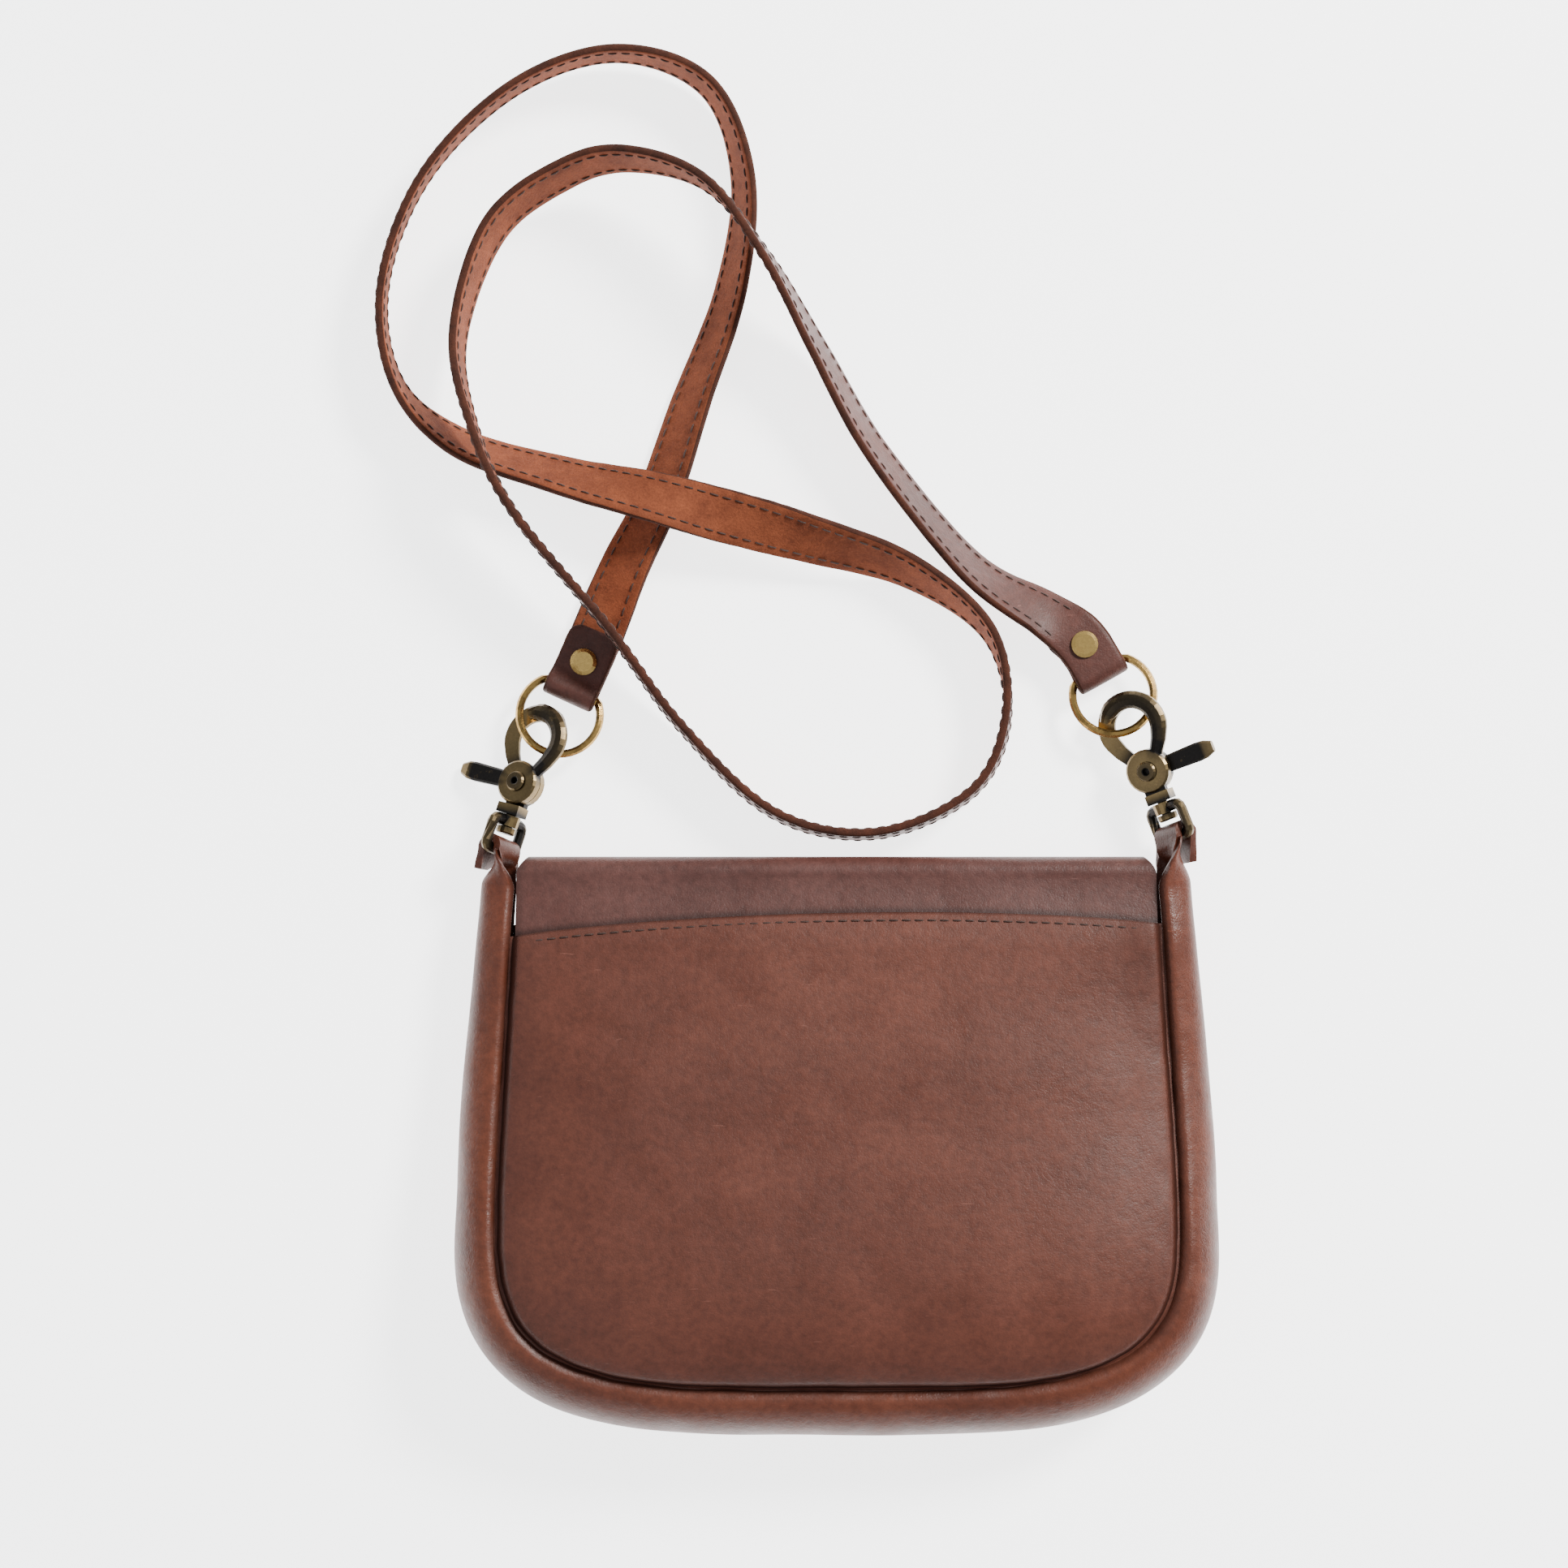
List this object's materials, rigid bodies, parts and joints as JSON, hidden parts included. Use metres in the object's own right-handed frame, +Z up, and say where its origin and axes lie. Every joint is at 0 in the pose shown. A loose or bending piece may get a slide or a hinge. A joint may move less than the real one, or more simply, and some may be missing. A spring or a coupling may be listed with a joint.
{
  "type": "crossbody purse",
  "caption": "Small leather crossbody purse with a flap, a wrap-round gusset, two scissor snap hooks and a long strap, lying on its front.",
  "frame": {"origin": "on the table under the middle of the body, on the flap's flat outer face, which is undermost", "axes": "+X to the right, +Y from the bottom of the bag towards its mouth and strap, +Z up from the table, out of the back of the bag"},
  "size_m": [0.2497, 0.4093, 0.0445],
  "materials": {
    "panel_leather": "matte oiled",
    "gusset_leather": "matte oiled",
    "strap_leather": "matte, raw edges",
    "antique_brass": "darkened, worn bright on the edges",
    "ring_brass": "worn bright",
    "spring_steel": "satin"
  },
  "bodies": {
    "shell": {"back_panel": "panel_leather", "flap_yoke": "panel_leather", "front_panel": "panel_leather", "gusset": "gusset_leather", "snap_socket": "antique_brass", "snap_washer": "antique_brass", "strap": "strap_leather", "left_rivet_cap": "ring_brass", "left_rivet_post": "ring_brass", "right_rivet_cap": "ring_brass", "right_rivet_post": "ring_brass"},
    "flap": {"front_flap": "panel_leather", "snap_stud": "antique_brass"},
    "left_eye": {"left_swivel_eye": "antique_brass"},
    "left_hook": {"left_hook_body": "antique_brass", "left_pivot_rivet": "antique_brass", "left_trigger_spring": "spring_steel"},
    "left_trigger": {"left_hook_trigger": "antique_brass"},
    "left_ring": {"left_d_ring": "ring_brass"},
    "right_eye": {"right_swivel_eye": "antique_brass"},
    "right_hook": {"right_hook_body": "antique_brass", "right_pivot_rivet": "antique_brass", "right_trigger_spring": "spring_steel"},
    "right_trigger": {"right_hook_trigger": "antique_brass"},
    "right_ring": {"right_d_ring": "ring_brass"}
  },
  "joints": [
    {"name": "flap_fold", "type": "hinge", "parent": "shell", "child": "flap", "pos_m": [0, 0.0844, 0.011], "axis": [1, 0, 0], "range_deg": [0, 80]},
    {"name": "left_eye_hinge", "type": "hinge", "parent": "shell", "child": "left_eye", "pos_m": [-0.1001, 0.0862, 0.0129], "axis": [-0.511, 0.2722, 0.8153], "range_deg": [-3, 0.4]},
    {"name": "left_hook_swivel", "type": "hinge", "parent": "left_eye", "child": "left_hook", "pos_m": [-0.1001, 0.0862, 0.0129], "axis": [0.2982, 0.9458, -0.1288], "range_deg": [-9, 1.9]},
    {"name": "left_trigger_pivot", "type": "hinge", "parent": "left_hook", "child": "left_trigger", "pos_m": [-0.09384, 0.10606, 0.0102], "axis": [0.4056, -0.2477, -0.8798], "range_deg": [0, 30], "stiffness_Nm_per_rad": 0.05, "springref_deg": -11.46},
    {"name": "left_ring_hinge", "type": "hinge", "parent": "shell", "child": "left_ring", "pos_m": [-0.07921, 0.13417, 0.00545], "axis": [0.9094, -0.4158, 0], "range_deg": [-0.4, 3]},
    {"name": "right_eye_hinge", "type": "hinge", "parent": "shell", "child": "right_eye", "pos_m": [0.1009, 0.0904, 0.0125], "axis": [-0.4982, -0.2488, -0.8306], "range_deg": [-0.4, 1.7]},
    {"name": "right_hook_swivel", "type": "hinge", "parent": "right_eye", "child": "right_hook", "pos_m": [0.1009, 0.0904, 0.0125], "axis": [-0.3576, 0.9316, -0.0645], "range_deg": [-8, 1.7]},
    {"name": "right_trigger_pivot", "type": "hinge", "parent": "right_hook", "child": "right_trigger", "pos_m": [0.09339, 0.10996, 0.01114], "axis": [-0.4311, -0.1034, 0.8964], "range_deg": [0, 30], "stiffness_Nm_per_rad": 0.05, "springref_deg": -11.46},
    {"name": "right_ring_hinge", "type": "hinge", "parent": "shell", "child": "right_ring", "pos_m": [0.07889, 0.13981, 0.00605], "axis": [0.8732, 0.4874, 0], "range_deg": [-2.7, 0.4]}
  ]
}
